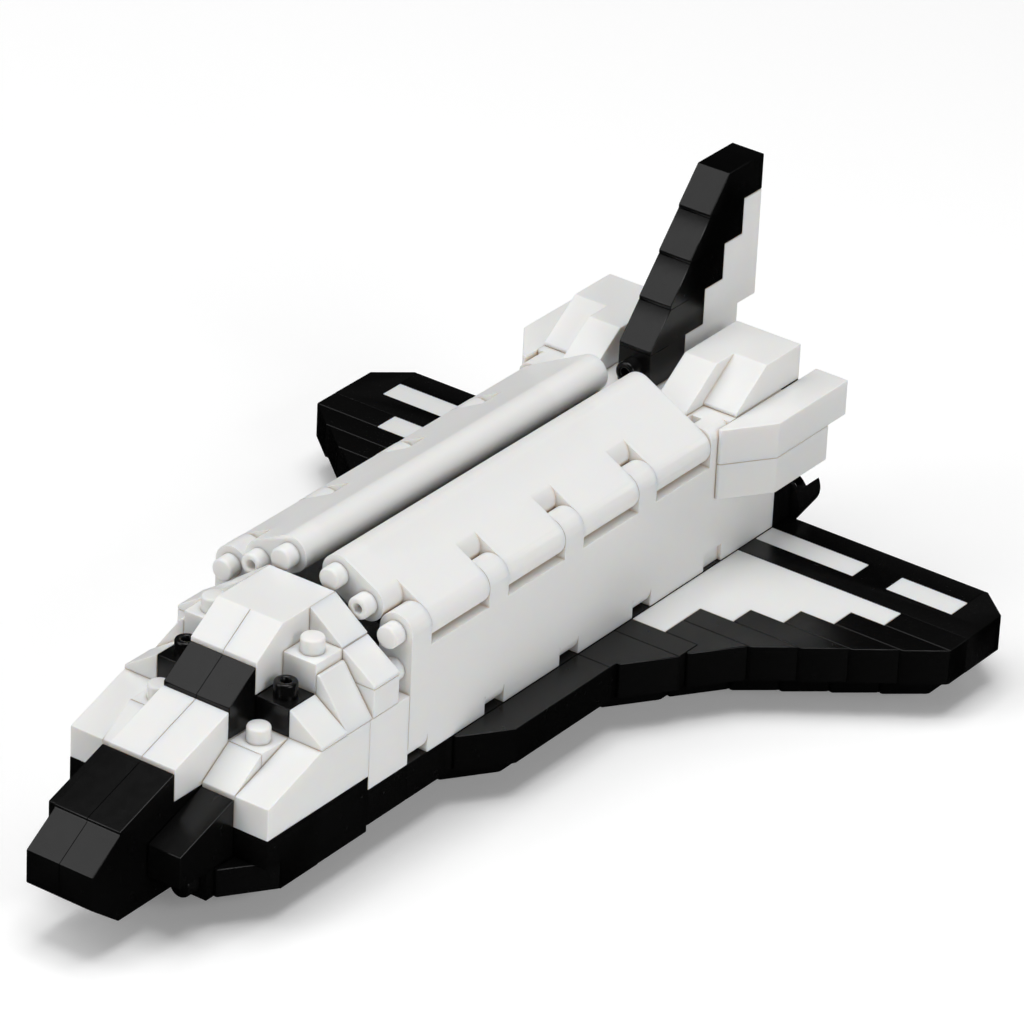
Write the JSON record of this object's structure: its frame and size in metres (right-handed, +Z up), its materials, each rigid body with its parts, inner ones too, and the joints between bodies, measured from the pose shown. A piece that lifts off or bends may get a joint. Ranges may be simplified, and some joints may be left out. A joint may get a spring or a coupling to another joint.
{
  "type": "toy space shuttle orbiter",
  "caption": "Micro-brick toy model of a winged space shuttle orbiter in white and black, with a stepped nose, hinged payload bay doors, a tail fin and twin pods.",
  "frame": {"origin": "on the surface that the toy rests on, under the middle of its length and width", "axes": "+X to the nose, +Y to port, +Z up"},
  "size_m": [0.109, 0.0798, 0.0439],
  "materials": {
    "white_plastic": "smooth moulded white plastic with a soft gloss",
    "black_plastic": "smooth moulded black plastic with a soft gloss"
  },
  "bodies": {
    "root": {"bay_bulkhead": "black_plastic", "centre_engine": "black_plastic", "cockpit_roof": "white_plastic", "collar": "white_plastic", "fin_leading_edge": "black_plastic", "fin_rudder": "white_plastic", "hull": "black_plastic", "nose_bonnet": "white_plastic", "nose_hull": "black_plastic", "nose_tip": "black_plastic", "port_cockpit_side": "white_plastic", "port_collar_side": "white_plastic", "port_engine": "black_plastic", "port_flap_stripe_inner": "white_plastic", "port_flap_stripe_outer": "white_plastic", "port_flare": "white_plastic", "port_nose_cheek": "black_plastic", "port_nose_shoulder": "white_plastic", "port_pod": "white_plastic", "port_side_window": "black_plastic", "port_wall_1": "white_plastic", "port_wall_2": "white_plastic", "port_wall_3": "white_plastic", "port_wall_4": "white_plastic", "port_wing_field": "white_plastic", "port_wing_flap": "black_plastic", "port_wing_leading_edge": "black_plastic", "port_wing_underside": "black_plastic", "starboard_cockpit_side": "white_plastic", "starboard_collar_side": "white_plastic", "starboard_engine": "black_plastic", "starboard_flap_stripe_inner": "white_plastic", "starboard_flap_stripe_outer": "white_plastic", "starboard_flare": "white_plastic", "starboard_nose_cheek": "black_plastic", "starboard_nose_shoulder": "white_plastic", "starboard_pod": "white_plastic", "starboard_side_window": "black_plastic", "starboard_wall_1": "white_plastic", "starboard_wall_2": "white_plastic", "starboard_wall_3": "white_plastic", "starboard_wall_4": "white_plastic", "starboard_wing_field": "white_plastic", "starboard_wing_flap": "black_plastic", "starboard_wing_leading_edge": "black_plastic", "starboard_wing_underside": "black_plastic", "tail_block": "white_plastic", "tail_plate": "black_plastic", "windscreen": "black_plastic"},
    "port_door": {"port_door_1": "white_plastic", "port_door_2": "white_plastic", "port_door_3": "white_plastic", "port_door_4": "white_plastic"},
    "starboard_door": {"starboard_door_1": "white_plastic", "starboard_door_2": "white_plastic", "starboard_door_3": "white_plastic", "starboard_door_4": "white_plastic"}
  },
  "joints": [
    {"name": "port_door_hinge", "type": "hinge", "parent": "root", "child": "port_door", "pos_m": [-0.00805, 0.01, 0.02195], "axis": [-1, 0, 0], "range_deg": [-27, 150]},
    {"name": "starboard_door_hinge", "type": "hinge", "parent": "root", "child": "starboard_door", "pos_m": [-0.00805, -0.01, 0.02195], "axis": [1, 0, 0], "range_deg": [-27, 150]}
  ]
}
